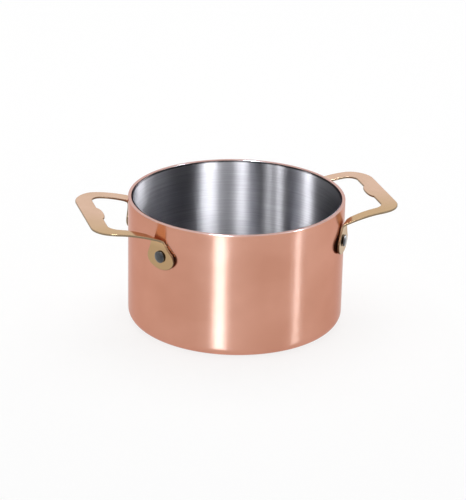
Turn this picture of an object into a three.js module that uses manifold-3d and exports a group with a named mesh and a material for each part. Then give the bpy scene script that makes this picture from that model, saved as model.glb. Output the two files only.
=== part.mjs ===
// A small copper cocotte: a straight-sided copper pot with a steel lining, two bent brass plate
// handles, and the domed steel rivets that hold them. Millimetres, +Z up, origin at the centre of
// the base, handles on +X and -X, front on -Y.

import * as THREE from 'three';
import { mergeVertices } from 'three/addons/utils/BufferGeometryUtils.js';
import Module from 'manifold-3d';

// Pot body
const OUTER_DIAMETER = 100;
const POT_HEIGHT = 59.3;
const COPPER_THICKNESS = 1.5;
const LINING_THICKNESS = 0.6;
const LINING_GAP = 0.2;
const LINING_STEP_BELOW_RIM = 0.3;
const BASE_CORNER_RADIUS = 4.6;
const RIM_OUTER_ROUND = 0.35;
const RIM_INNER_ROUND = 0.25;
const LINING_OUTER_ROUND = 0.18;
const LINING_INNER_ROUND = 0.24;

// Handle plate, measured from the axis of the pot
const PLATE_THICKNESS = 1;
const PLATE_EDGE_ROUND = 0.35;
const GRIP_OUTER_REACH = 72.2;
const GRIP_INNER_REACH = 64.4;
const GRIP_TOP_HEIGHT = 56.3;
const OUTER_CORNER_HALF_SPAN = 26.9;
const OUTER_CORNER_CUT = 10.8;
const INNER_CORNER_HALF_SPAN = 20.9;
const INNER_CORNER_CUT = 4.6;
const THUMB_REST_HALF_SPAN = 6.9;
const THUMB_REST_DEPTH = 1.7;
const THUMB_REST_SHOULDER = 0.9;
const THUMB_REST_CREST_HALF_SPAN = 4.1;

// Handle arms and lugs; places along the fold count outwards from the lug's rivet
const ARM_LEVEL_REACH = 66;
const ARM_MIDDLE_HALF_SPAN = 24.5;
const ARM_SLOPE_AT_FOLD = THREE.MathUtils.degToRad(21.5);
const ARM_TWIST_AT_FOLD = 0.15;
const FOLD_RADIUS = 1.8;
const LUG_ANGLE = THREE.MathUtils.degToRad(32.8);
const LUG_HALF_WIDTH = 7.9;
const LUG_HALF_HEIGHT = 5.3;
const LUG_CENTRE_BELOW_RIVET = 0.9;
const LUG_OUTER_SHOULDER = THREE.MathUtils.degToRad(135);
const LUG_INNER_SHOULDER = THREE.MathUtils.degToRad(108);
const NECK_OUTER_PLACE = 2.4;
const NECK_INNER_PLACE = -5.4;
const NECK_FILLET = 2.4;

// Rivets
const RIVET_HEIGHT = 44;
const RIVET_HEAD_DIAMETER = 5.6;
const RIVET_HEAD_HEIGHT = 1;
const RIVET_HEAD_EDGE = 0.3;
const RIVET_SHANK_DIAMETER = 3.6;

// Clearances and fineness
const FIT_GAP = 0.3;
const POT_SEGMENTS = 96;
const RIVET_SEGMENTS = 24;
const ARC_STEPS = 2;
const DOME_STEPS = 3;
const PLATE_COLUMNS = 4;
const SLOPE_STEP = 0.01;
const CORNER_PULL = 0.55;

// Steps along each curve of a handle edge: lug, shoulder, neck, arm, corner, grip, thumb rest
const EDGE_STEPS = [9, 3, 8, 7, 7, 3, 7];

const OUTER_RADIUS = OUTER_DIAMETER / 2;
const LINING_OFFSET = COPPER_THICKNESS + LINING_GAP;
const LUG_COS = Math.cos(LUG_ANGLE);
const LUG_SIN = Math.sin(LUG_ANGLE);

const MATERIALS = {
  copper: { color: 0xc28c76, metalness: 1, roughness: 0.25 },
  lining: { color: 0xa2a3a8, metalness: 1, roughness: 0.35 },
  brass: { color: 0xd9b98c, metalness: 1, roughness: 0.2 },
  rivet: { color: 0x777d86, metalness: 1, roughness: 0.3 },
};

const wasm = await Module();
wasm.setup();

// Closed geometry to a solid that can be cut, and back
function toSolid(geometry) {
  const bare = geometry.clone();
  bare.deleteAttribute('normal');
  bare.deleteAttribute('uv');
  const merged = mergeVertices(bare);
  const corners = merged.index.array;
  const triangles = [];
  for (let i = 0; i < corners.length; i += 3) {
    const [a, b, c] = corners.slice(i, i + 3);
    if (a !== b && b !== c && c !== a) triangles.push(a, b, c);
  }
  const mesh = new wasm.Mesh({
    numProp: 3,
    vertProperties: new Float32Array(merged.attributes.position.array),
    triVerts: new Uint32Array(triangles),
  });
  return new wasm.Manifold(mesh);
}

function toGeometry(solid) {
  const mesh = solid.getMesh();
  const geometry = new THREE.BufferGeometry();
  geometry.setAttribute('position', new THREE.BufferAttribute(mesh.vertProperties, 3));
  geometry.setIndex(new THREE.BufferAttribute(mesh.triVerts, 1));
  geometry.computeVertexNormals();
  return geometry;
}

function namedMesh(name, geometry, finish) {
  const mesh = new THREE.Mesh(geometry, new THREE.MeshStandardMaterial(MATERIALS[finish]));
  mesh.name = name;
  return mesh;
}

// A cup turned about +Z: its outside runs from the base centre to the rim, its inside back down
function cup({ radius, bottom, top, thickness, corner, outerRound, innerRound }) {
  const inner = radius - thickness;
  const innerCorner = corner - thickness;
  const floor = bottom + thickness;
  const profile = new THREE.Path();
  profile.moveTo(0, bottom);
  profile.lineTo(radius - corner, bottom);
  profile.absarc(radius - corner, bottom + corner, corner, -Math.PI / 2, 0, false);
  profile.lineTo(radius, top - outerRound);
  profile.absarc(radius - outerRound, top - outerRound, outerRound, 0, Math.PI / 2, false);
  profile.lineTo(inner + innerRound, top);
  profile.absarc(inner + innerRound, top - innerRound, innerRound, Math.PI / 2, Math.PI, false);
  profile.lineTo(inner, floor + innerCorner);
  profile.absarc(inner - innerCorner, floor + innerCorner, innerCorner, 0, -Math.PI / 2, true);
  profile.lineTo(0, floor);
  return new THREE.LatheGeometry(profile.getPoints(ARC_STEPS), POT_SEGMENTS).rotateX(Math.PI / 2);
}

function liningGeometry() {
  return cup({
    radius: OUTER_RADIUS - LINING_OFFSET,
    bottom: LINING_OFFSET,
    top: POT_HEIGHT - LINING_STEP_BELOW_RIM,
    thickness: LINING_THICKNESS,
    corner: BASE_CORNER_RADIUS - LINING_OFFSET,
    outerRound: LINING_OUTER_ROUND,
    innerRound: LINING_INNER_ROUND,
  });
}

// Hole for a rivet shank, lying along +X from the axis of the pot and turned to its angle
function rivetHole(angle) {
  const radius = RIVET_SHANK_DIAMETER / 2 + FIT_GAP;
  const length = OUTER_RADIUS;
  const hole = new THREE.CylinderGeometry(radius, radius, length, RIVET_SEGMENTS);
  hole.rotateZ(-Math.PI / 2);
  hole.translate(OUTER_RADIUS, 0, RIVET_HEIGHT);
  hole.rotateZ(angle);
  return toSolid(hole);
}

function shellGeometry() {
  let shell = toSolid(cup({
    radius: OUTER_RADIUS,
    bottom: 0,
    top: POT_HEIGHT,
    thickness: COPPER_THICKNESS,
    corner: BASE_CORNER_RADIUS,
    outerRound: RIM_OUTER_ROUND,
    innerRound: RIM_INNER_ROUND,
  }));
  for (const handleAngle of [0, Math.PI]) {
    for (const lugAngle of [-LUG_ANGLE, LUG_ANGLE]) {
      shell = shell.subtract(rivetHole(handleAngle + lugAngle));
    }
  }
  return toGeometry(shell);
}

// Height of the middle of the plate: level in the grip, falling along the arms, which twist a little
// as they near the wall so that the fold lies almost level
const PLATE_HEIGHT = GRIP_TOP_HEIGHT - PLATE_THICKNESS / 2;
const LUG_DISTANCE = OUTER_RADIUS + FIT_GAP + PLATE_THICKNESS / 2;
const ARM_RUN = ARM_LEVEL_REACH - (LUG_DISTANCE - ARM_MIDDLE_HALF_SPAN * LUG_SIN) / LUG_COS;
const ARM_CURVATURE = Math.tan(ARM_SLOPE_AT_FOLD) / (2 * ARM_RUN);

function plateHeight(reach, span) {
  const fall = Math.max(0, ARM_LEVEL_REACH - reach);
  const twist = ARM_TWIST_AT_FOLD * (fall / ARM_RUN) ** 3;
  return PLATE_HEIGHT - ARM_CURVATURE * fall ** 2 + twist * (span - ARM_MIDDLE_HALF_SPAN);
}

// The fold: the arm comes in at its slope and turns down into the lug, which lies along the wall
const FOLD_SLOPE = Math.atan(Math.tan(ARM_SLOPE_AT_FOLD) * LUG_COS + ARM_TWIST_AT_FOLD * LUG_SIN);
const FOLD_DISTANCE = LUG_DISTANCE + FOLD_RADIUS * (1 - Math.sin(FOLD_SLOPE));
const FOLD_LENGTH = FOLD_RADIUS * (Math.PI / 2 - FOLD_SLOPE);
const FOLD_HEIGHT = foldHeight(NECK_OUTER_PLACE);
const FOLD_END_HEIGHT = FOLD_HEIGHT - FOLD_RADIUS * Math.cos(FOLD_SLOPE);
const FOLD_END_DISTANCE = FOLD_DISTANCE - FOLD_LENGTH;
const RIVET_DISTANCE = FOLD_END_DISTANCE - (FOLD_END_HEIGHT - RIVET_HEIGHT);

// Height of the plate where it reaches the fold
function foldHeight(alongFold) {
  const edge = lugPoint(FOLD_DISTANCE, alongFold);
  return plateHeight(edge.x, edge.y);
}

// Point of the flat plate pattern to its place on the middle of the bent plate
function bentMiddle(flat) {
  const side = flat.y < 0 ? -1 : 1;
  const span = Math.abs(flat.y);
  const distance = flat.x * LUG_COS + span * LUG_SIN;
  const alongFold = span * LUG_COS - flat.x * LUG_SIN;
  if (distance >= FOLD_DISTANCE) {
    return new THREE.Vector3(flat.x, flat.y, plateHeight(flat.x, span));
  }
  const turned = Math.min(FOLD_DISTANCE - distance, FOLD_LENGTH);
  const slope = FOLD_SLOPE + turned / FOLD_RADIUS;
  const straight = FOLD_DISTANCE - distance - turned;
  const inward = FOLD_RADIUS * (Math.sin(slope) - Math.sin(FOLD_SLOPE));
  const drop = FOLD_RADIUS * (Math.cos(FOLD_SLOPE) - Math.cos(slope));
  const place = THREE.MathUtils.clamp(alongFold, NECK_INNER_PLACE, NECK_OUTER_PLACE);
  const uneven = THREE.MathUtils.smoothstep(distance, RIVET_DISTANCE, FOLD_END_DISTANCE);
  const start = THREE.MathUtils.lerp(FOLD_HEIGHT, foldHeight(place), uneven);
  const bent = lugPoint(FOLD_DISTANCE - inward, alongFold);
  return new THREE.Vector3(bent.x, bent.y * side, start - drop - straight);
}

// The same point moved off the middle of the plate, across its thickness
function bendPoint(flat, lift) {
  const middle = bentMiddle(flat);
  const alongX = bentMiddle(new THREE.Vector2(flat.x + SLOPE_STEP, flat.y)).sub(middle);
  const alongY = bentMiddle(new THREE.Vector2(flat.x, flat.y + SLOPE_STEP)).sub(middle);
  return middle.addScaledVector(alongX.cross(alongY).normalize(), lift);
}

// Flat pattern point from its distance along the lug's normal and its place along the fold
function lugPoint(distance, alongFold) {
  const x = distance * LUG_COS - alongFold * LUG_SIN;
  const y = distance * LUG_SIN + alongFold * LUG_COS;
  return new THREE.Vector2(x, y);
}

// Smooth corner between two straight runs that meet at a vertex
function roundedCorner(start, vertex, end) {
  const leave = start.clone().lerp(vertex, CORNER_PULL);
  const arrive = end.clone().lerp(vertex, CORNER_PULL);
  return new THREE.CubicBezierCurve(start, leave, arrive, end);
}

function toward(from, to, length) {
  return from.clone().addScaledVector(to.clone().sub(from).normalize(), length);
}

// Lug outline on one side of its centre line, from its foot up to the neck
class LugEdge extends THREE.Curve {
  constructor(side) {
    super();
    this.side = side;
  }

  getPoint(t, target = new THREE.Vector2()) {
    const angle = (this.side > 0 ? LUG_OUTER_SHOULDER : LUG_INNER_SHOULDER) * t;
    const distance = RIVET_DISTANCE - LUG_CENTRE_BELOW_RIVET - LUG_HALF_HEIGHT * Math.cos(angle);
    const alongFold = this.side * LUG_HALF_WIDTH * Math.sin(angle);
    return target.copy(lugPoint(distance, alongFold));
  }
}

// One edge of half the plate, from the foot of the lug to the middle of the grip
function edgeCurves(side, cornerVertex, cornerCut, gripCurves) {
  const lug = new LugEdge(side);
  const neck = lugPoint(FOLD_END_DISTANCE, side > 0 ? NECK_OUTER_PLACE : NECK_INNER_PLACE);
  const lugEnd = lug.getPoint(1);
  const shoulderEnd = toward(neck, lugEnd, NECK_FILLET);
  const armStart = toward(neck, cornerVertex, NECK_FILLET);
  const armEnd = toward(cornerVertex, neck, cornerCut);
  const gripStart = new THREE.Vector2(cornerVertex.x, cornerVertex.y - cornerCut);
  return [
    lug,
    new THREE.LineCurve(lugEnd, shoulderEnd),
    roundedCorner(shoulderEnd, neck, armStart),
    new THREE.LineCurve(armStart, armEnd),
    roundedCorner(armEnd, cornerVertex, gripStart),
    ...gripCurves(gripStart),
  ];
}

function outerGrip(start) {
  const shoulder = new THREE.Vector2(GRIP_OUTER_REACH, THUMB_REST_HALF_SPAN);
  const middle = new THREE.Vector2(GRIP_OUTER_REACH, 0);
  return [new THREE.LineCurve(start, shoulder), new THREE.LineCurve(shoulder, middle)];
}

// The thumb rest: a low swelling of the inner edge with a short shoulder at each end
function innerGrip(start) {
  const foot = new THREE.Vector2(GRIP_INNER_REACH, THUMB_REST_HALF_SPAN);
  const crest = GRIP_INNER_REACH - THUMB_REST_DEPTH;
  const shoulder = new THREE.Vector2(
    GRIP_INNER_REACH - THUMB_REST_SHOULDER,
    THUMB_REST_HALF_SPAN - THUMB_REST_SHOULDER,
  );
  const swell = new THREE.Vector2(crest, THUMB_REST_CREST_HALF_SPAN);
  const middle = new THREE.Vector2(crest, 0);
  const rest = new THREE.CubicBezierCurve(foot, shoulder, swell, middle);
  return [new THREE.LineCurve(start, foot), rest];
}

function edgePoints(curves) {
  const points = [curves[0].getPoint(0)];
  curves.forEach((curve, i) => points.push(...curve.getPoints(EDGE_STEPS[i]).slice(1)));
  const mirrored = points.slice(0, -1).reverse().map((p) => new THREE.Vector2(p.x, -p.y));
  return [...points, ...mirrored];
}

// Unit direction from an edge into the plate at station i
function intoPlate(edge, opposite, i, turn) {
  const last = edge.length - 1;
  const before = i === 0 ? opposite[1] : edge[i - 1];
  const after = i === last ? opposite[last - 1] : edge[i + 1];
  const along = after.clone().sub(before).normalize();
  return new THREE.Vector2(-along.y * turn, along.x * turn);
}

// Rounded edge of the plate, from its upper face to its lower one: set-in and lift of each row
function edgeRows() {
  const half = PLATE_THICKNESS / 2;
  const flat = half - PLATE_EDGE_ROUND;
  const upper = [Math.PI / 2, Math.PI / 4, 0].map((angle) => ({
    setIn: PLATE_EDGE_ROUND * (1 - Math.cos(angle)),
    lift: flat + PLATE_EDGE_ROUND * Math.sin(angle),
  }));
  const lower = upper.map((row) => ({ setIn: row.setIn, lift: -row.lift })).reverse();
  return [...upper, ...lower];
}

// Ring of points round the plate at station i: outer edge, lower face, inner edge, upper face
function plateRing(outer, inner, i) {
  const rows = edgeRows();
  const outerInto = intoPlate(outer, inner, i, -1);
  const innerInto = intoPlate(inner, outer, i, 1);
  const onOuter = (row) => outer[i].clone().addScaledVector(outerInto, row.setIn);
  const onInner = (row) => inner[i].clone().addScaledVector(innerInto, row.setIn);
  const ring = rows.map((row) => bendPoint(onOuter(row), row.lift));
  const face = (row, from, to) => {
    for (let column = 1; column < PLATE_COLUMNS; column += 1) {
      ring.push(bendPoint(from.clone().lerp(to, column / PLATE_COLUMNS), row.lift));
    }
  };
  const lowest = rows[rows.length - 1];
  const highest = rows[0];
  face(lowest, onOuter(lowest), onInner(lowest));
  rows.slice().reverse().forEach((row) => ring.push(bendPoint(onInner(row), row.lift)));
  face(highest, onInner(highest), onOuter(highest));
  return ring;
}

// Skin over a row of rings whose first and last rings are flat, so that the skin closes there
function skin(rings) {
  const size = rings[0].length;
  const index = [];
  for (let i = 0; i < rings.length - 1; i += 1) {
    for (let j = 0; j < size; j += 1) {
      const next = (j + 1) % size;
      const [a, b, c, d] = [i * size + j, i * size + next, (i + 1) * size + next, (i + 1) * size + j];
      index.push(a, c, b, a, d, c);
    }
  }
  const geometry = new THREE.BufferGeometry().setFromPoints(rings.flat());
  geometry.setIndex(index);
  return geometry;
}

function handleGeometry() {
  const outerVertex = new THREE.Vector2(GRIP_OUTER_REACH, OUTER_CORNER_HALF_SPAN);
  const innerVertex = new THREE.Vector2(GRIP_INNER_REACH, INNER_CORNER_HALF_SPAN);
  const outer = edgePoints(edgeCurves(1, outerVertex, OUTER_CORNER_CUT, outerGrip));
  const inner = edgePoints(edgeCurves(-1, innerVertex, INNER_CORNER_CUT, innerGrip));
  const rings = outer.map((_, i) => plateRing(outer, inner, i));
  const plate = toSolid(skin(rings));
  const holed = plate.subtract(rivetHole(LUG_ANGLE)).subtract(rivetHole(-LUG_ANGLE));
  return toGeometry(holed);
}

// Rivet lying along +X: its shank ends in the copper wall, its domed head bears on the lug
function rivetGeometry() {
  const shank = RIVET_SHANK_DIAMETER / 2;
  const head = RIVET_HEAD_DIAMETER / 2;
  const start = OUTER_RADIUS - COPPER_THICKNESS + LINING_GAP;
  const seat = LUG_DISTANCE + PLATE_THICKNESS / 2 + FIT_GAP;
  const dome = RIVET_HEAD_HEIGHT - RIVET_HEAD_EDGE;
  const profile = new THREE.Path();
  profile.moveTo(0, start);
  profile.lineTo(shank, start);
  profile.lineTo(shank, seat);
  profile.lineTo(head, seat);
  profile.lineTo(head, seat + RIVET_HEAD_EDGE);
  profile.absellipse(0, seat + RIVET_HEAD_EDGE, head, dome, 0, Math.PI / 2, false);
  const points = profile.getPoints(DOME_STEPS);
  points[points.length - 1].x = 0;
  return new THREE.LatheGeometry(points, RIVET_SEGMENTS).rotateZ(-Math.PI / 2);
}

function rivet(name, angle) {
  const mesh = namedMesh(name, rivetGeometry(), 'rivet');
  mesh.position.z = RIVET_HEIGHT;
  mesh.rotation.z = angle;
  return mesh;
}

// A handle with its rivets, modelled on +X; frontSide is the sign of Y that faces the front
function handleGroup(side, turn, frontSide) {
  const group = new THREE.Group();
  group.add(namedMesh(`${side}_handle`, handleGeometry(), 'brass'));
  group.add(rivet(`rivet_${side}_front`, frontSide * LUG_ANGLE));
  group.add(rivet(`rivet_${side}_back`, -frontSide * LUG_ANGLE));
  group.rotation.z = turn;
  return group;
}

const cocotte = new THREE.Group();
cocotte.add(namedMesh('copper_shell', shellGeometry(), 'copper'));
cocotte.add(namedMesh('steel_lining', liningGeometry(), 'lining'));
cocotte.add(handleGroup('right', 0, -1));
cocotte.add(handleGroup('left', Math.PI, 1));

export default cocotte;
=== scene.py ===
"""Dressed model of a small copper cocotte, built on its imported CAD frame.

A turned copper shell carries a brushed steel lining. Two bent brass plate handles are held to the
wall by domed steel rivets. Sizes are in metres, +Z is up and the front of the pot faces -Y.
"""

import logging
import math
from dataclasses import dataclass, field
from enum import Enum

import bmesh
import bpy
from mathutils import Matrix, Vector
from mathutils.geometry import interpolate_bezier


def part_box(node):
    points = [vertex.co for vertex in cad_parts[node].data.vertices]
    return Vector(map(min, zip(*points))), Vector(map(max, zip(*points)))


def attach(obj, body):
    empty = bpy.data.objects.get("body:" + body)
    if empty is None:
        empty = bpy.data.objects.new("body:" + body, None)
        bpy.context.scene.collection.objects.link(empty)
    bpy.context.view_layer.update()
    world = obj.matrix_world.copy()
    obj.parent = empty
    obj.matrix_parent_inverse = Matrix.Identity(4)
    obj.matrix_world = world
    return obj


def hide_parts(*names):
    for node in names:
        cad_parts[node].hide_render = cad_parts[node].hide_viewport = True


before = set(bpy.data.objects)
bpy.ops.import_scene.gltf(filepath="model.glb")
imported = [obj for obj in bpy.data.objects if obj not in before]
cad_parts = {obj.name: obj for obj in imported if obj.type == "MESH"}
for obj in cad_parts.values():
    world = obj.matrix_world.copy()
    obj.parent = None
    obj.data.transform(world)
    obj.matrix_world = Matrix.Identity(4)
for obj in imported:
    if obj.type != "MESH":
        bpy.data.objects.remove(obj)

LOG = logging.getLogger("cocotte")
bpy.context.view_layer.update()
ROOT_BODY = "root"
CUT_EDGE = "cut_edge"

Material = bpy.types.Material
Piece = bpy.types.Object
Socket = bpy.types.NodeSocket
Colour = tuple[float, float, float, float]
Range = tuple[float, float]
Point = tuple[float, float]
Profile = list[Point]
Path = list[Vector]
Value = float | Socket
Ends = tuple[Value, Value]
Tint = Colour | Socket

MM = 0.001
QUARTER = math.pi / 2
WELD = 0.001 * MM
LUG_ANGLE = math.radians(32.8)
LUG_COS = math.cos(LUG_ANGLE)
LUG_SIN = math.sin(LUG_ANGLE)
RIVET_HEIGHT = 44.0 * MM

# Shares and ranges that the finishes have in common.
FULL = 1.0
RISING: Range = (0.0, 1.0)
FALLING: Range = (1.0, 0.0)
MOST_NOISE: Range = (0.3, 0.7)
MID_NOISE: Range = (0.35, 0.65)
UNSCALED = 1.0
GRAIN_TURN = 0.25
WHITE: Colour = (1.0, 1.0, 1.0, 1.0)
COOL: Colour = (0.46, 0.77, 1.0, 1.0)


class Side(Enum):
    """Side of the pot that a handle is on, with the turn that takes it there from +X."""

    RIGHT = 0.0
    LEFT = math.pi

    @property
    def node(self) -> str:
        """Name of the CAD node of the handle on this side."""
        return f"{self.name.lower()}_handle"


class PlateEdge(Enum):
    """Edge of a handle's flat pattern, with its side of the lug's middle."""

    OUTER = 1
    INNER = -1


class RivetPlace(Enum):
    """Place of each rivet, numbered as the rivet tree lays out its points."""

    RIGHT_FRONT = 0
    RIGHT_BACK = 1
    LEFT_BACK = 2
    LEFT_FRONT = 3

    @property
    def node(self) -> str:
        """Name of the CAD node of the rivet at this place."""
        return f"rivet_{self.name.lower()}"


class Slot(Enum):
    """Material slots of the part's record."""

    COPPER = "copper"
    LINING = "lining"
    HANDLE = "handle"
    RIVET = "rivet"


def empty_tree(owner: Material | bpy.types.World) -> bpy.types.NodeTree:
    """Turn on the node tree of a material or a world and clear it.

    Args:
        owner: Material or world.

    Returns:
        The empty tree.
    """
    owner.use_nodes = True
    owner.node_tree.nodes.clear()
    return owner.node_tree


def in_scene(name: str, data: bpy.types.ID) -> Piece:
    """Make an object and put it in the scene.

    Args:
        name: Name of the object.
        data: Mesh, lamp or camera that it shows.

    Returns:
        The object.
    """
    thing = bpy.data.objects.new(name, data)
    bpy.context.scene.collection.objects.link(thing)
    return thing


class NodeBench:
    """Adds nodes to one node tree and joins their sockets."""

    def __init__(self, tree: bpy.types.NodeTree) -> None:
        """Keep the node tree of a material, a world or a modifier to work on."""
        self.tree = tree

    def add(self, kind: str, inputs: dict | None = None, **settings: object) -> bpy.types.Node:
        """Add a node, set its options and fill its inputs.

        Args:
            kind: Blender's type name of the node.
            inputs: Value or output socket for each input, by its name or number.
            **settings: Options of the node itself.

        Returns:
            The new node.
        """
        node = self.tree.nodes.new(kind)
        for name, value in settings.items():
            setattr(node, name, value)
        for key, value in (inputs or {}).items():
            if isinstance(value, Socket):
                self.tree.links.new(value, node.inputs[key])
            else:
                node.inputs[key].default_value = value
        return node

    def out(self, kind: str, inputs: dict | None = None, **settings: object) -> Socket:
        """Add a node as add does, and give its first output."""
        return self.add(kind, inputs, **settings).outputs[0]

    def math(self, operation: str, *values: Value) -> Socket:
        """Add a Math node that works on numbers or sockets, and give its result."""
        return self.out("ShaderNodeMath", dict(enumerate(values)), operation=operation)

    def length(self, vector: Socket) -> Socket:
        """Add a node that measures a vector, and give its length."""
        return self.add("ShaderNodeVectorMath", {0: vector}, operation="LENGTH").outputs["Value"]

    def spread(self, value: Socket, source: Range, target: Ends, smooth: bool = False) -> Socket:
        """Map a value from one range to another, held at the ends.

        Args:
            value: Value to map.
            source: Low and high end of the range that it comes from.
            target: What it becomes at each of those ends.
            smooth: Whether it leaves and reaches the ends gently.

        Returns:
            The socket with the mapped value.
        """
        kind = "SMOOTHSTEP" if smooth else "LINEAR"
        ends = dict(enumerate((value, *source, *target)))
        return self.out("ShaderNodeMapRange", ends, interpolation_type=kind)


class Tints(NodeBench):
    """Node bench for a surface finish, with the patterns that the metals share."""

    # Places of the sockets for colours on a Mix node.
    MIX_SHARE, MIX_FIRST, MIX_SECOND, MIX_RESULT = 0, 6, 7, 2

    def __init__(self, name: str) -> None:
        """Start an empty material.

        Args:
            name: Name of the material.
        """
        self.material = bpy.data.materials.new(name)
        super().__init__(empty_tree(self.material))
        self.place = self.add("ShaderNodeTexCoord").outputs["Object"]

    def axes(self) -> bpy.types.NodeOutputs:
        """Coordinates of a point of the pot, by the names of the axes."""
        return self.add("ShaderNodeSeparateXYZ", {0: self.place}).outputs

    def round_pot(self) -> Socket:
        """Direction round the axis of the pot."""
        return self.out("ShaderNodeTangent", direction_type="RADIAL", axis="Z")

    def noise(self, where: Socket, scale: float, detail: float) -> Socket:
        """Add a noise pattern, with its features in each metre and its number of finer layers."""
        inputs = {"Vector": where, "Scale": scale, "Detail": detail}
        return self.out("ShaderNodeTexNoise", inputs)

    def turned_noise(self, along: float, across: float, detail: float) -> Socket:
        """Add noise drawn out round the axis of the pot, on its wall and on its base.

        Args:
            along: Features in each metre along the marks.
            across: Features in each metre across the marks.
            detail: Number of finer layers.

        Returns:
            The socket with the pattern's value.
        """
        parts = self.axes()
        flat = self.out("ShaderNodeCombineXYZ", {"X": parts["X"], "Y": parts["Y"]})
        outward = self.math("ADD", parts["Z"], self.length(flat))
        drawn = self.out("ShaderNodeCombineXYZ", {
            "X": self.math("MULTIPLY", parts["X"], along),
            "Y": self.math("MULTIPLY", parts["Y"], along),
            "Z": self.math("MULTIPLY", outward, across),
        })
        return self.noise(drawn, UNSCALED, detail)

    def blend(self, share: Socket, first: Tint, second: Tint) -> Socket:
        """Mix two colours by the share of the second one."""
        colours = {self.MIX_SHARE: share, self.MIX_FIRST: first, self.MIX_SECOND: second}
        return self.add("ShaderNodeMix", colours, data_type="RGBA").outputs[self.MIX_RESULT]

    def bump(self, pattern: Socket, strength: float, depth: float, under: Socket | None = None) -> Socket:
        """Add relief.

        Args:
            pattern: Height pattern.
            strength: Share of the relief that shows.
            depth: Depth of the relief in metres.
            under: Normal of a coarser relief that this one lies on.

        Returns:
            The socket with the bumped normal.
        """
        inputs = {"Height": pattern, "Strength": strength, "Distance": depth}
        if under:
            inputs["Normal"] = under
        return self.out("ShaderNodeBump", inputs)

    def metal(self, inputs: dict) -> Material:
        """Close the material with a metal surface.

        Args:
            inputs: Values or sockets for the surface's inputs.

        Returns:
            The finished material.
        """
        surface = self.out("ShaderNodeBsdfPrincipled", {"Metallic": FULL, **inputs})
        self.add("ShaderNodeOutputMaterial", {"Surface": surface})
        return self.material


@dataclass(frozen=True)
class CopperFinish:
    """Polished copper, a little wavy, with a faint grain turned round the pot and a rim written paler as
    a painted highlight.
    """

    bright: Colour = (0.63, 0.308, 0.218, 1.0)
    deep: Colour = (0.57, 0.266, 0.182, 1.0)
    # Painted highlight: the rim is written paler than the copper, for the light that it catches.
    rim: Colour = (0.64, 0.43, 0.39, 1.0)
    rim_start: float = 58.85 * MM
    rim_full: float = 59.15 * MM
    edge_tint: Colour = (0.85, 0.7, 0.66, 1.0)
    roughness: Range = (0.21, 0.25)
    rim_roughness: float = 0.24
    gloss_stretch: float = 0.6
    cloud_scale: float = 38.0
    cloud_detail: float = 3.0
    grain_along: float = 18.0
    grain_across: float = 2600.0
    grain_detail: float = 2.0
    grain_strength: float = 0.08
    grain_depth: float = 0.02 * MM
    wave_scale: float = 34.0
    wave_detail: float = 1.0
    wave_depth: float = 0.03 * MM

    def material(self) -> Material:
        """Make the copper's material.

        Returns:
            The material.
        """
        tints = Tints("polished copper")
        grain = tints.turned_noise(self.grain_along, self.grain_across, self.grain_detail)
        cloud = tints.noise(tints.place, self.cloud_scale, self.cloud_detail)
        tone = tints.blend(tints.spread(cloud, MID_NOISE, RISING), self.bright, self.deep)
        # Band along the rim, for its painted highlight and its own roughness.
        top = tints.spread(tints.axes()["Z"], (self.rim_start, self.rim_full), RISING)
        wave = tints.noise(tints.place, self.wave_scale, self.wave_detail)
        wavy = tints.bump(wave, FULL, self.wave_depth)
        polish = tints.spread(grain, MOST_NOISE, self.roughness)
        return tints.metal({
            "Base Color": tints.blend(top, tone, self.rim),
            "Specular Tint": self.edge_tint,
            "Roughness": tints.spread(top, RISING, (polish, self.rim_roughness)),
            "Anisotropic": self.gloss_stretch,
            "Anisotropic Rotation": GRAIN_TURN,
            "Tangent": tints.round_pot(),
            "Normal": tints.bump(grain, self.grain_strength, self.grain_depth, wavy),
        })


@dataclass(frozen=True)
class LiningFinish:
    """Stainless steel brushed round the axis of the pot, with painted shade along its lip."""

    bright: Colour = (0.40, 0.40, 0.43, 1.0)
    deep: Colour = (0.31, 0.31, 0.335, 1.0)
    # Painted shade: the lip is written near black, for the shadow along it.
    lip: Colour = (0.05, 0.045, 0.047, 1.0)
    edge_tint: Colour = (0.4, 0.4, 0.42, 1.0)
    lip_shade_start: float = 58.2 * MM
    lip_shade_full: float = 58.8 * MM
    roughness: Range = (0.31, 0.36)
    gloss_stretch: float = 1.0
    grain_along: float = 40.0
    grain_across: float = 2600.0
    grain_detail: float = 3.0
    grain_depth: float = 0.04 * MM
    stroke_along: float = 22.0
    stroke_across: float = 3000.0
    stroke_detail: float = 3.0
    stroke_range: Range = (0.25, 0.75)
    stroke_slant: float = 0.055

    def material(self) -> Material:
        """Make the lining's material.

        Returns:
            The material.
        """
        tints = Tints("brushed steel lining")
        grain = tints.turned_noise(self.grain_along, self.grain_across, self.grain_detail)
        stroke = tints.turned_noise(self.stroke_along, self.stroke_across, self.stroke_detail)
        slant = tints.spread(stroke, self.stroke_range, (-self.stroke_slant, self.stroke_slant))
        lean = tints.out("ShaderNodeCombineXYZ", {"Z": slant})
        ways = {0: tints.round_pot(), 1: lean}
        brushed = tints.out("ShaderNodeVectorMath", ways, operation="ADD")
        tone = tints.blend(tints.spread(grain, MOST_NOISE, RISING), self.bright, self.deep)
        # Band along the lip that takes the painted shade.
        edge = tints.spread(tints.axes()["Z"], (self.lip_shade_start, self.lip_shade_full), RISING)
        return tints.metal({
            "Base Color": tints.blend(edge, tone, self.lip),
            "Roughness": tints.spread(grain, MOST_NOISE, self.roughness),
            "Specular Tint": self.edge_tint,
            "Anisotropic": self.gloss_stretch,
            "Anisotropic Rotation": GRAIN_TURN,
            "Tangent": brushed,
            "Normal": tints.bump(grain, FULL, self.grain_depth),
        })


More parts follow.
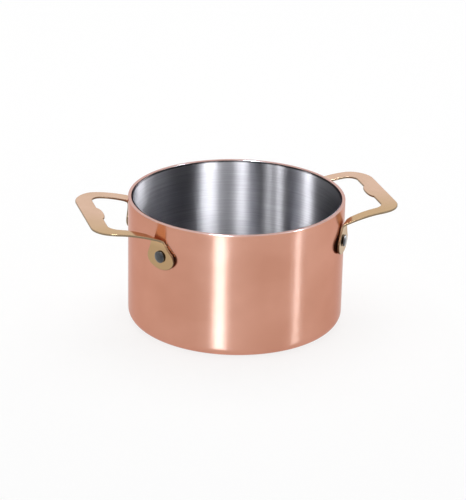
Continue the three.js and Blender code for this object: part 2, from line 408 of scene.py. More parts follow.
@dataclass(frozen=True)
class BrassFinish:
    """Pale polished brass, dull along its cut edges, with painted shade that makes the lugs darker and
    yellower and the front lugs' cut edges near black, and a painted reflection that makes it deeper and
    yellower towards the front.
    """

    bright: Colour = (0.71, 0.475, 0.355, 1.0)
    deep: Colour = (0.65, 0.43, 0.30, 1.0)
    # Painted reflection: the brass is written deeper and yellower towards the front, for what it reflects
    # there.
    front: Colour = (0.555, 0.368, 0.198, 1.0)
    painted_front_full: float = -24.0 * MM
    painted_front_end: float = 1.0 * MM
    edge_tint: Colour = (0.95, 0.9, 0.84, 1.0)
    # Painted shade: the lugs are written darker and yellower than the rest of the brass.
    lug: Colour = (0.46, 0.305, 0.16, 1.0)
    cut: Colour = (0.25, 0.187, 0.12, 1.0)
    # Painted shade: the cut edges of the front lugs are written near black, for the shadow they lie in
    # against the wall.
    lug_edge_painted_shade: Colour = (0.11, 0.06, 0.035, 1.0)
    lug_shade_full: float = 48.0 * MM
    lug_shade_end: float = 51.5 * MM
    roughness: Range = (0.11, 0.17)
    cut_roughness: float = 0.34
    cloud_scale: float = 90.0
    cloud_detail: float = 3.0
    cloud_range: Range = (0.35, 0.7)
    scratch_scale: float = 900.0
    scratch_detail: float = 4.0
    scratch_strength: float = 0.04
    scratch_depth: float = 0.03 * MM

    def material(self) -> Material:
        """Make the handles' material.

        Returns:
            The material.
        """
        tints = Tints("polished brass")
        cloud = tints.noise(tints.place, self.cloud_scale, self.cloud_detail)
        scratch = tints.noise(tints.place, self.scratch_scale, self.scratch_detail)
        tone = tints.blend(tints.spread(cloud, self.cloud_range, RISING), self.bright, self.deep)
        parts = tints.axes()
        # Share of the lugs' painted shade, by height.
        low = tints.spread(parts["Z"], (self.lug_shade_full, self.lug_shade_end), FALLING)
        # Share of the painted reflection towards the front; it also picks out the front lugs for their
        # painted edge shade.
        near = tints.spread(parts["Y"], (self.painted_front_full, self.painted_front_end), FALLING)
        face = tints.blend(low, tints.blend(near, tone, self.front), self.lug)
        # Cut edges take painted shade where they lie on the front lugs.
        edge = tints.blend(tints.math("MULTIPLY", low, near), self.cut, self.lug_edge_painted_shade)
        cut = tints.add("ShaderNodeAttribute", attribute_name=CUT_EDGE).outputs["Fac"]
        worn = tints.spread(scratch, MOST_NOISE, self.roughness)
        return tints.metal({
            "Base Color": tints.blend(cut, face, edge),
            "Specular Tint": self.edge_tint,
            "Roughness": tints.spread(cut, RISING, (worn, self.cut_roughness)),
            "Normal": tints.bump(scratch, self.scratch_strength, self.scratch_depth),
        })


@dataclass(frozen=True)
class RivetFinish:
    """Worn dark steel of the rivet heads, under a clear polish."""

    bright: Colour = (0.05, 0.051, 0.056, 1.0)
    deep: Colour = (0.012, 0.013, 0.015, 1.0)
    roughness: Range = (0.16, 0.28)
    polish: float = 1.0
    polish_ior: float = 1.5
    polish_roughness: float = 0.12
    wear_scale: float = 520.0
    wear_detail: float = 4.0
    wear_strength: float = 0.15
    wear_depth: float = 0.05 * MM

    def material(self) -> Material:
        """Make the rivets' material.

        Returns:
            The material.
        """
        tints = Tints("rivet steel")
        wear = tints.noise(tints.place, self.wear_scale, self.wear_detail)
        return tints.metal({
            "Base Color": tints.blend(tints.spread(wear, MID_NOISE, RISING), self.bright, self.deep),
            "Roughness": tints.spread(wear, MOST_NOISE, self.roughness),
            "Coat Weight": self.polish,
            "Coat IOR": self.polish_ior,
            "Coat Roughness": self.polish_roughness,
            "Normal": tints.bump(wear, self.wear_strength, self.wear_depth),
        })


@dataclass(frozen=True)
class Finishes:
    """The finished materials, made once and shared by the pieces."""

    copper: Material
    lining: Material
    brass: Material
    rivet: Material

    @classmethod
    def made(cls) -> "Finishes":
        """Make all the materials."""
        kinds = (CopperFinish, LiningFinish, BrassFinish, RivetFinish)
        return cls(*(kind().material() for kind in kinds))


class TurningTree(NodeBench):
    """Geometry Nodes tree that turns a wire profile round the +Z axis into a closed form."""

    INPUTS = {
        "Profile": "NodeSocketGeometry",
        "Steps Round": "NodeSocketInt",
        "Turning Radius": "NodeSocketFloat",
        "Finish": "NodeSocketMaterial",
    }

    def __init__(self, name: str) -> None:
        """Build the tree with its named inputs.

        Args:
            name: Name of the tree.
        """
        super().__init__(bpy.data.node_groups.new(name, "GeometryNodeTree"))
        face = self.tree.interface
        face.new_socket("Geometry", in_out="OUTPUT", socket_type="NodeSocketGeometry")
        for label, kind in self.INPUTS.items():
            face.new_socket(label, in_out="INPUT", socket_type=kind)
        self.given = self.add("NodeGroupInput").outputs
        self.close(self.placed(self.turned()))

    def placed(self, form: Socket) -> Socket:
        """Place the turned form; a form on the axis of the pot stays where it is."""
        return form

    def turned(self) -> Socket:
        """Sweep the profile round a circle and weld its seam and poles.

        Returns:
            The socket with the turned form.
        """
        back = self.math("MULTIPLY", self.given["Turning Radius"], -1.0)
        shift = self.out("ShaderNodeCombineXYZ", {"X": back})
        upright = self.out("GeometryNodeTransform", {
            "Geometry": self.given["Profile"],
            "Translation": shift,
            "Rotation": (QUARTER, 0.0, 0.0),
        })
        wire = self.out("GeometryNodeMeshToCurve", {"Mesh": upright})
        circle = self.out("GeometryNodeCurvePrimitiveCircle", {
            "Resolution": self.given["Steps Round"],
            "Radius": self.given["Turning Radius"],
        })
        swept = self.out("GeometryNodeCurveToMesh", {"Curve": circle, "Profile Curve": wire})
        welded = self.out("GeometryNodeMergeByDistance", {"Geometry": swept, "Distance": WELD})
        return self.out("GeometryNodeSetShadeSmooth", {"Geometry": welded})

    def close(self, form: Socket) -> None:
        """End the tree in plain geometry with its finish.

        Args:
            form: Socket with the placed form.
        """
        plain = self.out("GeometryNodeRealizeInstances", {"Geometry": form})
        finish = {"Geometry": plain, "Material": self.given["Finish"]}
        self.add("NodeGroupOutput", {0: self.out("GeometryNodeSetMaterial", finish)})

    def make(self, name: str, profile: Profile, values: dict[str, object]) -> Piece:
        """Turn a profile into a plain mesh object.

        Args:
            name: Name of the object.
            profile: Radius and height of each point, from one pole to the other.
            values: Values for the tree's inputs, by name.

        Returns:
            The object, with its modifier already removed.
        """
        wire = bpy.data.meshes.new(f"{name} profile")
        steps = [(i, i + 1) for i in range(len(profile) - 1)]
        wire.from_pydata([(radius, 0.0, height) for radius, height in profile], steps, [])
        piece = in_scene(name, wire)
        modifier = piece.modifiers.new(name, "NODES")
        modifier.node_group = self.tree
        for socket in self.tree.interface.items_tree:
            if socket.in_out == "INPUT" and socket.name in values:
                modifier[socket.identifier] = values[socket.name]
        bpy.context.view_layer.update()
        evaluated = piece.evaluated_get(bpy.context.evaluated_depsgraph_get())
        mesh = bpy.data.meshes.new_from_object(evaluated)
        mesh.name = name
        piece.modifiers.clear()
        piece.data = mesh
        bpy.data.meshes.remove(wire)
        face_outwards(mesh)
        return piece


class RivetTree(TurningTree):
    """Turning tree that sets its form on one of four places round the wall, lying along its normal."""

    INPUTS = {
        **TurningTree.INPUTS,
        "Place": "NodeSocketInt",
        "Lug Angle": "NodeSocketFloat",
        "Rivet Height": "NodeSocketFloat",
    }
    LUGS_ON_HANDLE = 2.0
    # Places of the sockets for whole numbers on a Compare node.
    WHOLE_FIRST, WHOLE_SECOND = 2, 3

    def placed(self, form: Socket) -> Socket:
        """Put the form on its point, with two points at each handle.

        Args:
            form: Socket with the turned rivet, standing along +Z.

        Returns:
            The socket with the instance.
        """
        index = self.out("GeometryNodeInputIndex")
        handle = self.math("FLOOR", self.math("DIVIDE", index, self.LUGS_ON_HANDLE))
        second = self.math("MODULO", index, self.LUGS_ON_HANDLE)
        # The two lugs, 0 and 1, lie at -1 and 1 times the lug angle.
        lug = self.math("MULTIPLY_ADD", second, 2.0, -1.0)
        half_turn = self.math("MULTIPLY", handle, math.pi)
        angle = self.math("MULTIPLY_ADD", lug, self.given["Lug Angle"], half_turn)
        turn = self.out("ShaderNodeCombineXYZ", {"Y": QUARTER, "Z": angle})
        seat = self.out("ShaderNodeCombineXYZ", {"Z": self.given["Rivet Height"]})
        points = self.out("GeometryNodePoints", {"Count": len(RivetPlace), "Position": seat})
        numbers = {self.WHOLE_FIRST: index, self.WHOLE_SECOND: self.given["Place"]}
        chosen = self.out("FunctionNodeCompare", numbers, data_type="INT", operation="EQUAL")
        return self.out("GeometryNodeInstanceOnPoints", {
            "Points": points,
            "Selection": chosen,
            "Instance": form,
            "Rotation": turn,
        })


def face_outwards(mesh: bpy.types.Mesh, weld: bool = False) -> None:
    """Turn all faces of a closed mesh outwards.

    Args:
        mesh: Mesh to put right.
        weld: Whether its doubles are merged first.
    """
    work = bmesh.new()
    work.from_mesh(mesh)
    if weld:
        bmesh.ops.remove_doubles(work, verts=work.verts, dist=WELD)
        bmesh.ops.dissolve_degenerate(work, edges=work.edges, dist=WELD)
    bmesh.ops.recalc_face_normals(work, faces=work.faces)
    work.to_mesh(mesh)
    work.free()


def arc(centre: Point, radius: float, start: float, end: float, steps: int) -> Profile:
    """Points along an arc of a profile, both ends included, with its angles in radians from outwards."""
    angles = [start + (end - start) * i / steps for i in range(steps + 1)]
    return [(centre[0] + radius * math.cos(a), centre[1] + radius * math.sin(a)) for a in angles]


def run(start: Point, end: Point, steps: int) -> Profile:
    """Points of a straight run of a profile, between its ends."""
    shares = [i / steps for i in range(1, steps)]
    return [(start[0] + (end[0] - start[0]) * s, start[1] + (end[1] - start[1]) * s) for s in shares]


def smooth_step(share: float) -> float:
    """Share from 0 to 1 that starts and ends gently, held outside that range."""
    held = min(1.0, max(0.0, share))
    return held * held * (3.0 - 2.0 * held)


def on_frame(piece: Piece, slot: Slot, *nodes: str) -> Piece:
    """Tie a finished piece to the CAD frame.

    Args:
        piece: Finished piece.
        slot: Material slot of the part's record. Not used.
        *nodes: CAD nodes that the piece takes the place of.

    Returns:
        The same piece.
    """
    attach(piece, ROOT_BODY)
    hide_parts(*nodes)
    return piece


@dataclass
class PotBody:
    """The copper shell and the steel lining inside it."""

    radius: float
    height: float
    finishes: Finishes
    copper_thickness: float = 1.5 * MM
    lining_thickness: float = 0.6 * MM
    lining_gap: float = 0.2 * MM
    lining_step: float = 0.3 * MM
    base_corner: float = 4.6 * MM
    rim_outer_round: float = 0.35 * MM
    rim_inner_round: float = 0.25 * MM
    lining_outer_round: float = 0.18 * MM
    lining_inner_round: float = 0.24 * MM
    steps_round: int = 288
    corner_steps: int = 12
    round_steps: int = 6
    wall_steps: int = 10
    floor_steps: int = 8

    def cup(self, inset: float, drop: float, thickness: float, rounds: Range) -> Profile:
        """Profile of a cup, up its outside from the base centre and down its inside.

        Args:
            inset: Distance of its outside from the outside of the pot.
            drop: Distance of its rim below the rim of the pot.
            thickness: Thickness of its wall and base.
            rounds: Radius of the outer and the inner edge of its rim.

        Returns:
            The profile's points.
        """
        outside = self.radius - inset
        inside = outside - thickness
        top = self.height - drop
        floor = inset + thickness
        corner = self.base_corner - inset
        inner_corner = corner - thickness
        outer_round, inner_round = rounds
        outer_lip = (outside - outer_round, top - outer_round)
        inner_lip = (inside + inner_round, top - inner_round)
        heel_centre = (inside - inner_corner, floor + inner_corner)
        foot = arc((outside - corner, inset + corner), corner, -QUARTER, 0.0, self.corner_steps)
        lip = arc(outer_lip, outer_round, 0.0, QUARTER, self.round_steps)
        lip += arc(inner_lip, inner_round, QUARTER, math.pi, self.round_steps)
        heel = arc(heel_centre, inner_corner, 0.0, -QUARTER, self.corner_steps)
        bottom = [(0.0, inset), *run((0.0, inset), foot[0], self.floor_steps)]
        wall = run(foot[-1], lip[0], self.wall_steps)
        inner_wall = run(lip[-1], heel[0], self.wall_steps)
        inner_floor = [*run(heel[-1], (0.0, floor), self.floor_steps), (0.0, floor)]
        return [*bottom, *foot, *wall, *lip, *inner_wall, *heel, *inner_floor]

    def build(self) -> tuple[Piece, Piece]:
        """Turn the shell and the lining.

        Returns:
            The shell and the lining.
        """
        tree = TurningTree("turned pot body")
        lining_inset = self.copper_thickness + self.lining_gap
        shell_rounds = (self.rim_outer_round, self.rim_inner_round)
        lining_rounds = (self.lining_outer_round, self.lining_inner_round)
        shell = self.cup(0.0, 0.0, self.copper_thickness, shell_rounds)
        lining = self.cup(lining_inset, self.lining_step, self.lining_thickness, lining_rounds)
        sizes = {"Steps Round": self.steps_round, "Turning Radius": self.radius}
        outer = tree.make("turned_copper_shell", shell, {**sizes, "Finish": self.finishes.copper})
        inner = tree.make("turned_steel_lining", lining, {**sizes, "Finish": self.finishes.lining})
        on_frame(outer, Slot.COPPER, "copper_shell")
        on_frame(inner, Slot.LINING, "steel_lining")
        return outer, inner


@dataclass
class PlateHandle:
    """A handle cut from brass plate and bent: a grip, two arms and two lugs that lie on the wall."""

    side: Side
    pot_radius: float
    reach: float
    top: float
    finishes: Finishes
    thickness: float = 1.0 * MM
    edge_round: float = 0.35 * MM
    fit_gap: float = 0.3 * MM
    inner_reach: float = 64.4 * MM
    outer_half_span: float = 26.9 * MM
    outer_cut: float = 10.8 * MM
    inner_half_span: float = 20.9 * MM
    inner_cut: float = 4.6 * MM
    rest_half_span: float = 6.9 * MM
    rest_depth: float = 1.7 * MM
    rest_shoulder: float = 0.9 * MM
    rest_crest_half_span: float = 4.1 * MM
    level_reach: float = 66.0 * MM
    arm_half_span: float = 24.5 * MM
    slope_at_fold: float = math.radians(21.5)
    twist_at_fold: float = 0.15
    fold_radius: float = 1.8 * MM
    lug_half_width: float = 7.9 * MM
    lug_half_height: float = 5.3 * MM
    lug_below_rivet: float = 0.9 * MM
    lug_outer_shoulder: float = math.radians(135.0)
    lug_inner_shoulder: float = math.radians(108.0)
    neck_outer_place: float = 2.4 * MM
    neck_inner_place: float = -5.4 * MM
    neck_fillet: float = 2.4 * MM
    corner_pull: float = 0.55
    slope_step: float = 0.01 * MM
    lug_steps: int = 26
    shoulder_steps: int = 8
    bend_steps: int = 18
    arm_steps: int = 26
    grip_steps: int = 8
    edge_steps: int = 5
    face_columns: int = 12
    plate_height: float = field(init=False)
    arm_run: float = field(init=False)
    fold_slope: float = field(init=False)
    fold_distance: float = field(init=False)
    fold_length: float = field(init=False)
    fold_height: float = field(init=False)
    rivet_distance: float = field(init=False)

    def __post_init__(self) -> None:
        """Work out the fold, where the arm turns down into the lug."""
        lug_distance = self.pot_radius + self.fit_gap + self.thickness / 2
        self.plate_height = self.top - self.thickness / 2
        self.arm_run = self.level_reach - (lug_distance - self.arm_half_span * LUG_SIN) / LUG_COS
        steepness = math.tan(self.slope_at_fold) * LUG_COS + self.twist_at_fold * LUG_SIN
        self.fold_slope = math.atan(steepness)
        self.fold_distance = lug_distance + self.fold_radius * (1 - math.sin(self.fold_slope))
        self.fold_length = self.fold_radius * (QUARTER - self.fold_slope)
        self.fold_height = self.height_at_fold(self.neck_outer_place)
        fold_end = self.fold_height - self.fold_radius * math.cos(self.fold_slope)
        self.rivet_distance = self.fold_distance - self.fold_length - (fold_end - RIVET_HEIGHT)

    def height_at(self, reach: float, span: float) -> float:
        """Height of the middle of the plate over a place of the grip or an arm.

        Args:
            reach: Distance from the axis of the pot along the handle.
            span: Distance from the middle of the handle.

        Returns:
            The height.
        """
        fall = max(0.0, self.level_reach - reach) / self.arm_run
        sag = math.tan(self.slope_at_fold) * self.arm_run / 2 * fall ** 2
        return self.plate_height - sag + self.twist_at_fold * fall ** 3 * (span - self.arm_half_span)

    def height_at_fold(self, along: float) -> float:
        """Height of the middle of the plate where it reaches the fold."""
        edge = self.lug_point(self.fold_distance, along)
        return self.height_at(edge.x, edge.y)

    def middle(self, flat: Vector) -> Vector:
        """Take a point of the flat pattern to its place on the middle of the bent plate.

        Args:
            flat: Point of the pattern.

        Returns:
            The point on the handle at +X.
        """
        side = -1.0 if flat.y < 0.0 else 1.0
        span = abs(flat.y)
        distance = flat.x * LUG_COS + span * LUG_SIN
        along = span * LUG_COS - flat.x * LUG_SIN
        if distance >= self.fold_distance:
            return Vector((flat.x, flat.y, self.height_at(flat.x, span)))
        past = self.fold_distance - distance
        turned = min(past, self.fold_length)
        slope = self.fold_slope + turned / self.fold_radius
        inward = self.fold_radius * (math.sin(slope) - math.sin(self.fold_slope))
        drop = self.fold_radius * (math.cos(self.fold_slope) - math.cos(slope)) + past - turned
        place = min(self.neck_outer_place, max(self.neck_inner_place, along))
        fold_end = self.fold_distance - self.fold_length
        uneven = smooth_step((distance - self.rivet_distance) / (fold_end - self.rivet_distance))
        start = self.fold_height + (self.height_at_fold(place) - self.fold_height) * uneven
        out = self.lug_point(self.fold_distance - inward, along)
        return Vector((out.x, out.y * side, start - drop))

    def bent(self, flat: Vector, lift: float) -> Vector:
        """Take a point of the flat pattern to its place on the bent plate.

        Args:
            flat: Point of the pattern.
            lift: Distance from the middle of the plate's thickness.

        Returns:
            The point on the handle at +X.
        """
        here = self.middle(flat)
        along_x = self.middle(flat + Vector((self.slope_step, 0.0))) - here
        along_y = self.middle(flat + Vector((0.0, self.slope_step))) - here
        return here + along_x.cross(along_y).normalized() * lift

    def lug_point(self, distance: float, along: float) -> Vector:
        """Pattern point from its distance along the lug's normal and its place along the fold."""
        return Vector((distance * LUG_COS - along * LUG_SIN, distance * LUG_SIN + along * LUG_COS))

    def rounded(self, start: Vector, vertex: Vector, end: Vector) -> Path:
        """Smooth corner between two straight runs that meet at a vertex.

        Args:
            start: Point where the corner begins.
            vertex: Point where the runs would meet.
            end: Point where the corner ends.

        Returns:
            Points of the corner, both ends included.
        """
        leave = start.lerp(vertex, self.corner_pull)
        arrive = end.lerp(vertex, self.corner_pull)
        return interpolate_bezier(start, leave, arrive, end, self.bend_steps + 1)

    def straight(self, start: Vector, end: Vector, steps: int) -> Path:
        """Points along a straight run, both ends included."""
        return [start.lerp(end, i / steps) for i in range(steps + 1)]

    def edge(self, which: PlateEdge, vertex: Vector, cut: float, rest: Path) -> Path:
        """One whole edge of the flat pattern, from lug foot to lug foot.

        Args:
            which: Edge to lay out.
            vertex: Corner between the arm and the grip.
            cut: Distance from that corner to the ends of its round.
            rest: Run of the edge along half the thumb rest, to the middle of the grip.

        Returns:
            The edge's points.
        """
        outer = which is PlateEdge.OUTER
        shoulder = self.lug_outer_shoulder if outer else self.lug_inner_shoulder
        place = self.neck_outer_place if outer else self.neck_inner_place
        centre = self.rivet_distance - self.lug_below_rivet
        angles = [shoulder * i / self.lug_steps for i in range(self.lug_steps + 1)]
        width = which.value * self.lug_half_width
        lug = [
            self.lug_point(centre - self.lug_half_height * math.cos(a), width * math.sin(a))
            for a in angles
        ]
        neck = self.lug_point(self.fold_distance - self.fold_length, place)
        arm = (vertex - neck).normalized()
        shoulder_end = neck + (lug[-1] - neck).normalized() * self.neck_fillet
        arm_start = neck + arm * self.neck_fillet
        arm_end = vertex - arm * cut
        grip_start = Vector((vertex.x, vertex.y - cut))
        runs = [
            self.straight(lug[-1], shoulder_end, self.shoulder_steps),
            self.rounded(shoulder_end, neck, arm_start),
            self.straight(arm_start, arm_end, self.arm_steps),
            self.rounded(arm_end, vertex, grip_start),
            self.straight(grip_start, rest[0], self.grip_steps),
            rest,
        ]
        half = [*lug, *(point for points in runs for point in points[1:])]
        return half + [Vector((point.x, -point.y)) for point in reversed(half[:-1])]

    def outer_edge(self) -> Path:
        """Outer edge of the flat pattern, straight along the grip.

        Returns:
            The edge's points.
        """
        foot = Vector((self.reach, self.rest_half_span))
        rest = self.straight(foot, Vector((self.reach, 0.0)), self.bend_steps)
        corner = Vector((self.reach, self.outer_half_span))
        return self.edge(PlateEdge.OUTER, corner, self.outer_cut, rest)

    def inner_edge(self) -> Path:
        """Inner edge of the flat pattern, with the low swelling of the thumb rest.

        Returns:
            The edge's points.
        """
        foot = Vector((self.inner_reach, self.rest_half_span))
        shoulder = foot - Vector((self.rest_shoulder, self.rest_shoulder))
        crest = self.inner_reach - self.rest_depth
        swell = Vector((crest, self.rest_crest_half_span))
        rest = interpolate_bezier(foot, shoulder, swell, Vector((crest, 0.0)), self.bend_steps + 1)
        corner = Vector((self.inner_reach, self.inner_half_span))
        return self.edge(PlateEdge.INNER, corner, self.inner_cut, rest)

    def edge_rows(self) -> Profile:
        """Rows of points round a plate edge, from the upper face to the lower one.

        Returns:
            The set-in from the edge and the lift from the plate's middle of each row.
        """
        flat = self.thickness / 2 - self.edge_round
        rows = arc((self.edge_round, flat), self.edge_round, QUARTER, math.pi, self.edge_steps)
        return rows + [(set_in, -lift) for set_in, lift in reversed(rows)]

    def ring(self, outer: Path, inner: Path, i: int) -> Path:
        """Points round the plate at one station of its edges.

        Args:
            outer: Outer edge of the pattern.
            inner: Inner edge of the pattern.
            i: Number of the station.

        Returns:
            Points of the outer edge, the lower face, the inner edge and the upper face.
        """
        last = len(outer) - 1
        sides = []
        for edge, other, turn in ((outer, inner, -1.0), (inner, outer, 1.0)):
            before = other[1] if i == 0 else edge[i - 1]
            after = other[last - 1] if i == last else edge[i + 1]
            along = (after - before).normalized()
            into = Vector((-along.y * turn, along.x * turn))
            sides.append([(edge[i] + into * set_in, lift) for set_in, lift in self.edge_rows()])
        outside, inside = sides
        inside.reverse()
        # Columns of the faces lie closer together towards the edges.
        angles = [math.pi * k / self.face_columns for k in range(1, self.face_columns)]
        shares = [0.5 - 0.5 * math.cos(a) for a in angles]
        lower = [(outside[-1][0].lerp(inside[0][0], s), outside[-1][1]) for s in shares]
        upper = [(inside[-1][0].lerp(outside[0][0], s), outside[0][1]) for s in shares]
        return [self.bent(flat, lift) for flat, lift in (*outside, *lower, *inside, *upper)]

    def ring_cut(self) -> list[float]:
        """How far each point of a ring lies on a cut edge, from 0 on a face to 1 on the edge.

        Returns:
            The share of each point, in the order of the ring.
        """
        rows = [1.0 - set_in / self.edge_round for set_in, _ in self.edge_rows()]
        face = [0.0] * (self.face_columns - 1)
        return [*rows, *face, *rows, *face]

    def build(self) -> Piece:
        """Skin the plate over its rings and dress it.

        Returns:
            The handle.
        """
        outer, inner = self.outer_edge(), self.inner_edge()
        rings = [self.ring(outer, inner, i) for i in range(len(outer))]
        size = len(rings[0])
        faces = [
            (i * size + j, (i + 1) * size + j, (i + 1) * size + (j + 1) % size, i * size + (j + 1) % size)
            for i in range(len(rings) - 1)
            for j in range(size)
        ]
        mesh = bpy.data.meshes.new(self.side.node)
        mesh.from_pydata([point for ring in rings for point in ring], [], faces)
        cut = mesh.attributes.new(CUT_EDGE, "FLOAT", "POINT")
        cut.data.foreach_set("value", self.ring_cut() * len(rings))
        mesh.transform(Matrix.Rotation(self.side.value, 4, "Z"))
        face_outwards(mesh, weld=True)
        mesh.shade_smooth()
        mesh.materials.append(self.finishes.brass)
        return on_frame(in_scene(f"bent_{self.side.node}", mesh), Slot.HANDLE, self.side.node)


@dataclass
class RivetSet:
    """The four domed rivets, whose shanks end in the copper wall."""

    pot_radius: float
    finishes: Finishes
    shank_start: float = 1.3 * MM
    seat: float = 1.6 * MM
    head_diameter: float = 5.6 * MM
    head_height: float = 1.0 * MM
    head_edge: float = 0.3 * MM
    shank_diameter: float = 3.6 * MM
    steps_round: int = 64
    dome_steps: int = 12

    def profile(self) -> Profile:
        """Profile of a rivet along its own axis, from the end of its shank to the top of its dome.

        Returns:
            The profile's points.
        """
        shank, head = self.shank_diameter / 2, self.head_diameter / 2
        start, seat = self.pot_radius - self.shank_start, self.pot_radius + self.seat
        dome = self.head_height - self.head_edge
        angles = [QUARTER * i / self.dome_steps for i in range(self.dome_steps)]
        crown = [(head * math.cos(a), seat + self.head_edge + dome * math.sin(a)) for a in angles]
        below = [(0.0, start), (shank, start), (shank, seat), (head, seat)]
        return [*below, *crown, (0.0, seat + self.head_height)]

    def build(self) -> list[Piece]:
        """Turn each rivet on its place.

        Returns:
            The rivets.
        """
        tree = RivetTree("rivets on the wall")
        sizes = {
            "Steps Round": self.steps_round,
            "Turning Radius": self.head_diameter,
            "Lug Angle": LUG_ANGLE,
            "Rivet Height": RIVET_HEIGHT,
            "Finish": self.finishes.rivet,
        }
        rivets = []
        for place in RivetPlace:
            piece = tree.make(f"domed_{place.node}", self.profile(), {**sizes, "Place": place.value})
            rivets.append(on_frame(piece, Slot.RIVET, place.node))
        return rivets


class Lit(Enum):
    """What a lamp lights."""

    OUTSIDE = "outside"
    METAL = "metal"
    HANDLES = "handles"
    RIVETS = "rivets"
    LINING = "lining"
    FLOOR = "floor"


def direction(azimuth: float, elevation: float) -> Vector:
    """Unit vector from the pot to a camera or a lamp, whose azimuth is 0 at the front and 90 at +X."""
    turn, rise = math.radians(azimuth), math.radians(elevation)
    return Vector((math.sin(turn) * math.cos(rise), -math.cos(turn) * math.cos(rise), math.sin(rise)))


@dataclass(frozen=True)
class SoftBox:
    """A soft lamp that faces the pot, with its width and height given as angles seen from there."""

    name: str
    lit: Lit
    azimuth: float
    elevation: float
    width: float
    height: float
    radiance: float
    colour: Colour = WHITE
    distance: float = 1.2
    aim_height: float = 30.0 * MM

    def span(self, angle: float) -> float:
        """Length that spans an angle in degrees at the lamp's distance."""
        return 2 * self.distance * math.tan(math.radians(angle / 2))

    def build(self, groups: dict[Lit, list[Piece]]) -> None:
        """Hang the lamp.

        Args:
            groups: Pieces that each kind of lamp lights.
        """
        lamp = bpy.data.lights.new(self.name, "AREA")
        lamp.shape = "RECTANGLE"
        lamp.size, lamp.size_y = self.span(self.width), self.span(self.height)
        lamp.energy = self.radiance * math.pi * lamp.size * lamp.size_y
        lamp.color = self.colour[:3]
        back = direction(self.azimuth, self.elevation)
        stand = in_scene(self.name, lamp)
        stand.location = back * self.distance + Vector((0.0, 0.0, self.aim_height))
        stand.rotation_mode = "QUATERNION"
        stand.rotation_quaternion = back.to_track_quat("Z", "Y")
        # The metals show a lamp only in their gloss, and the floor mostly by its matt white.
        if self.lit is Lit.FLOOR:
            stand.visible_glossy = False
        if self.lit is Lit.OUTSIDE:
            stand.visible_diffuse = False
        # A streak on the lining isn't seen again across the pot.
        if self.lit is Lit.LINING:
            lamp.cycles.max_bounces = 0
        if self.lit in groups:
            receivers = bpy.data.collections.new(f"lit by {self.name}")
            for piece in groups[self.lit]:
                receivers.objects.link(piece)
            stand.light_linking.receiver_collection = receivers


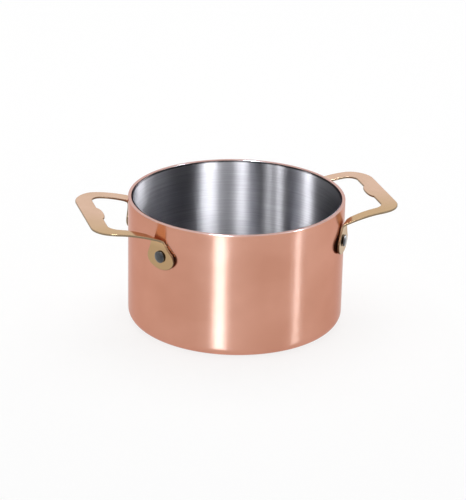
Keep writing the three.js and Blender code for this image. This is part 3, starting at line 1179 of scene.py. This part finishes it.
@dataclass
class Studio:
    """Floor, surroundings, lamps and the camera."""

    azimuth: float = -16.2
    elevation: float = 22.163
    roll: float = 1.159
    distance: float = 962.3 * MM
    aim_across: float = -1.251 * MM
    aim_height: float = 32.169 * MM
    focal_pixels: float = 2069.2
    frame_height: float = 500.0
    sensor: float = 36.0
    floor_radius: float = 8.0
    floor_segments: int = 96
    floor_drop: float = 0.1 * MM
    floor_colour: Colour = (0.93, 0.93, 0.93, 1.0)
    floor_gloss: float = 2.2
    floor_roughness: float = 0.12
    floor_white: float = 0.82
    shadow_reach: float = 0.2
    white_reach: float = 0.9
    room: float = 1.0
    dark_side: float = 0.05
    dark_elevation: float = 60.0
    dark_half_width: float = 60.0
    bright_half_width: float = 84.0
    # Turn from the camera, elevation, width, height and radiance of each lamp that streaks the lining.
    lining_strips: tuple[tuple[float, ...], ...] = (
        (33.2, 30.0, 16.5, 30.0, 27.0),
        (-5.4, 30.0, 10.4, 30.0, 24.0),
        (-38.2, 28.0, 1.8, 16.0, 84.0),
        (-51.6, 28.0, 3.2, 16.0, 80.0),
        (-92.0, 28.0, 8.5, 16.0, 66.0),
        (146.0, 28.0, 22.0, 18.0, 46.0),
        (11.0, 30.0, 14.0, 30.0, 4.0),
    )

    def lamps(self) -> list[SoftBox]:
        """The soft lamps, placed round the camera's own direction.

        Returns:
            The lamps.
        """
        here = self.azimuth
        strips = [
            SoftBox(f"lining strip {i}", Lit.LINING, here + turn, *rest)
            for i, (turn, *rest) in enumerate(self.lining_strips, 1)
        ]
        # Name, what it lights, azimuth, elevation, width, height, radiance and colour.
        return [
            SoftBox("key strip", Lit.OUTSIDE, here - 15.6, 22.0, 11.0, 24.0, 112.0, COOL),
            SoftBox("side strip", Lit.OUTSIDE, here + 67.6, 22.0, 4.0, 24.0, 100.0, COOL),
            SoftBox("overhead", Lit.FLOOR, here + 180.0, 75.0, 55.0, 55.0, 3.2),
            SoftBox("handle light", Lit.HANDLES, here - 100.0, 51.0, 80.0, 34.0, 0.42),
            SoftBox("rivet light", Lit.RIVETS, here + 112.0, 12.0, 26.0, 24.0, 14.0),
            SoftBox("edge light", Lit.HANDLES, here - 15.0, 78.0, 10.5, 10.5, 55.0),
            SoftBox("back arm light", Lit.HANDLES, here + 160.0, 44.0, 50.0, 20.0, 0.6, COOL),
            SoftBox("front panel", Lit.METAL, here, 62.0, 150.0, 110.0, 1.0),
            *strips,
        ]

    def floor_finish(self) -> Material:
        """Make the floor's material, matt to the camera and polished only to the metal on it.

        Returns:
            The material.
        """
        material = bpy.data.materials.new("pale floor")
        bench = NodeBench(empty_tree(material))
        pale = {"Base Color": self.floor_colour}
        plain = {**pale, "Roughness": 1.0, "Specular IOR Level": 0.0}
        polished = {**pale, "Roughness": self.floor_roughness, "IOR": self.floor_gloss}
        matt = bench.out("ShaderNodeBsdfPrincipled", plain)
        glossy = bench.out("ShaderNodeBsdfPrincipled", polished)
        path = bench.add("ShaderNodeLightPath").outputs
        lit = bench.out("ShaderNodeMixShader", {0: path["Is Camera Ray"], 1: glossy, 2: matt})
        shown = bench.math("MAXIMUM", path["Is Camera Ray"], path["Is Glossy Ray"])
        shown = bench.math("MAXIMUM", shown, path["Is Transmission Ray"])
        away = bench.length(bench.add("ShaderNodeTexCoord").outputs["Object"])
        reach = (self.shadow_reach, self.white_reach)
        white_share = bench.spread(away, reach, (self.floor_white, FULL), smooth=True)
        share = bench.math("MULTIPLY", shown, white_share)
        white = bench.out("ShaderNodeEmission", {"Color": WHITE, "Strength": FULL})
        surface = bench.out("ShaderNodeMixShader", {0: share, 1: lit, 2: white})
        bench.add("ShaderNodeOutputMaterial", {"Surface": surface})
        return material

    def build_floor(self) -> Piece:
        """Lay the pale floor.

        Returns:
            The floor.
        """
        mesh = bpy.data.meshes.new("floor")
        work = bmesh.new()
        sizes = {"segments": self.floor_segments, "radius": self.floor_radius}
        bmesh.ops.create_circle(work, cap_ends=True, **sizes)
        work.to_mesh(mesh)
        work.free()
        mesh.materials.append(self.floor_finish())
        floor = in_scene("floor", mesh)
        floor.location.z = -self.floor_drop
        return floor

    def build_surroundings(self) -> None:
        """Make a bright room with a dark side above the camera."""
        world = bpy.data.worlds.new("studio")
        bench = NodeBench(empty_tree(world))
        way = bench.add("ShaderNodeTexCoord").outputs["Generated"]
        ways = {0: way, 1: direction(self.azimuth, self.dark_elevation)}
        near = bench.add("ShaderNodeVectorMath", ways, operation="DOT_PRODUCT").outputs["Value"]
        rim = math.cos(math.radians(self.bright_half_width))
        core = math.cos(math.radians(self.dark_half_width))
        level = bench.spread(near, (rim, core), (self.room, self.dark_side), smooth=True)
        light = bench.out("ShaderNodeBackground", {"Color": WHITE, "Strength": level})
        bench.add("ShaderNodeOutputWorld", {"Surface": light})
        bpy.context.scene.world = world

    def build_camera(self) -> None:
        """Set up the camera at the photograph's angle, with its slight roll."""
        lens = bpy.data.cameras.new("camera")
        lens.sensor_width = self.sensor
        lens.lens = self.focal_pixels / self.frame_height * self.sensor
        turn, lean = math.radians(self.azimuth), math.radians(self.roll)
        back = direction(self.azimuth, self.elevation)
        right = Vector((math.cos(turn), math.sin(turn), 0.0))
        up = back.cross(right)
        aim = right * self.aim_across + Vector((0.0, 0.0, self.aim_height))
        tilted_right = right * math.cos(lean) + up * math.sin(lean)
        tilted_up = up * math.cos(lean) - right * math.sin(lean)
        camera = in_scene("camera", lens)
        camera.rotation_mode = "QUATERNION"
        camera.rotation_quaternion = Matrix((tilted_right, tilted_up, back)).transposed().to_quaternion()
        camera.location = aim + back * self.distance
        bpy.context.scene.camera = camera

    def build(self, shell: Piece, lining: Piece, handles: list[Piece], rivets: list[Piece]) -> None:
        """Set up the whole studio.

        Args:
            shell: The copper shell.
            lining: The steel lining.
            handles: The two handles.
            rivets: The rivets that hold them.
        """
        bpy.context.scene.view_settings.view_transform = "Standard"
        self.build_camera()
        self.build_surroundings()
        floor = self.build_floor()
        groups = {
            Lit.OUTSIDE: [shell, floor],
            Lit.METAL: [shell, *handles, *rivets],
            Lit.HANDLES: [*handles, *rivets],
            Lit.RIVETS: rivets,
            Lit.LINING: [lining],
        }
        for lamp in self.lamps():
            lamp.build(groups)


def main() -> None:
    """Build every piece of the pot and the studio round it."""
    logging.basicConfig(level=logging.INFO)
    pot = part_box("copper_shell")[1]
    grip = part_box(Side.RIGHT.node)[1]
    finishes = Finishes.made()
    shell, lining = PotBody(pot.y, pot.z, finishes).build()
    handles = [PlateHandle(side, pot.y, grip.x, grip.z, finishes).build() for side in Side]
    rivets = RivetSet(pot.y, finishes).build()
    for piece in (shell, lining, *handles, *rivets):
        LOG.info("%s: %d faces", piece.name, len(piece.data.polygons))
    Studio().build(shell, lining, handles, rivets)


if __name__ == "__main__":
    main()
